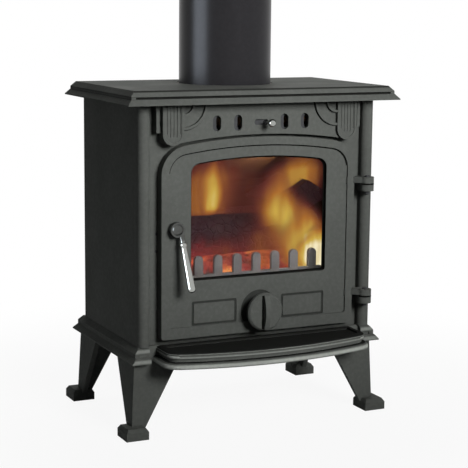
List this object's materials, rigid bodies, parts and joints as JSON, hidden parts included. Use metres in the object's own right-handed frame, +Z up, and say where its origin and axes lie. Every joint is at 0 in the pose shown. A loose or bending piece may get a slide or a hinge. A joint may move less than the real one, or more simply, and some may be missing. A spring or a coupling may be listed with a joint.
{
  "type": "wood stove",
  "caption": "Cast iron wood stove on splayed corner legs with an arched glazed door, latch lever, air controls, bowed ash shelf and a top flue pipe.",
  "frame": {"origin": "on the floor under the middle of the overall box", "axes": "+X to the right of a person facing the door, +Y to the back, +Z up; the door faces -Y"},
  "size_m": [0.48, 0.367, 0.757],
  "materials": {
    "black_iron": "matt stove paint over a fine cast skin",
    "steel": "dull",
    "chrome": "satin bright",
    "flue_enamel": "satin enamel",
    "pan_enamel": "matt",
    "glass": "clear heat-proof glass",
    "rope": "braided glass fibre",
    "brick": "pressed vermiculite",
    "charred_wood": "charred bark",
    "embers": "glowing charcoal"
  },
  "bodies": {
    "stove": {"base_plate": "black_iron", "ash_shelf": "black_iron", "leg_front_left": "black_iron", "leg_front_right": "black_iron", "leg_back_left": "black_iron", "leg_back_right": "black_iron", "side_plate_left": "black_iron", "side_plate_right": "black_iron", "back_plate": "black_iron", "outlet_cover": "black_iron", "front_frame": "black_iron", "header": "black_iron", "top_plate": "black_iron", "flue_collar": "black_iron", "baffle_plate": "black_iron", "fire_grate": "black_iron", "log_guard": "black_iron", "ash_shelf_bolts": "steel", "leg_bolts": "steel", "outlet_cover_screws": "steel", "hinge_pin_upper": "steel", "hinge_pin_lower": "steel", "latch_keeper": "steel", "latch_keeper_screws": "steel", "header_screws": "steel", "tie_rods": "steel", "flue_collar_bolts": "steel", "flue_pipe": "flue_enamel", "ash_pan": "pan_enamel", "flue_seal": "rope", "fire_brick_left": "brick", "fire_brick_right": "brick", "fire_brick_rear": "brick", "log_front": "charred_wood", "log_rear": "charred_wood", "log_split": "charred_wood", "ember_bed": "embers"},
    "door_leaf": {"door": "black_iron", "door_rope": "rope", "glass_gasket": "rope", "door_glass": "glass", "glass_clips": "steel", "glass_clip_screws": "steel", "handle_bush": "steel"},
    "door_handle": {"latch_spindle": "steel", "handle_cap": "chrome", "handle_lever": "chrome", "latch_tongue": "steel", "latch_nut": "steel"},
    "air_control": {"air_knob": "black_iron", "air_spindle": "steel", "air_shutter": "steel", "air_shutter_nut": "steel"},
    "air_slide": {"air_slide_plate": "steel", "air_slide_stem": "chrome", "air_slide_knob": "chrome"}
  },
  "joints": [
    {"name": "door_hinge", "type": "hinge", "parent": "stove", "child": "door_leaf", "pos_m": [0.1925, -0.1115, 0.3], "axis": [0, 0, 1], "range_deg": [0, 110]},
    {"name": "handle_turn", "type": "hinge", "parent": "door_leaf", "child": "door_handle", "pos_m": [-0.1505, 0, 0.3353], "axis": [0, 1, 0], "range_deg": [-60, 30]},
    {"name": "air_turn", "type": "hinge", "parent": "door_leaf", "child": "air_control", "pos_m": [0, 0, 0.193], "axis": [0, 1, 0], "range_deg": [-25, 20]},
    {"name": "air_slide_shift", "type": "slide", "parent": "stove", "child": "air_slide", "axis": [1, 0, 0], "range_m": [-0.0175, 0.0015]}
  ]
}
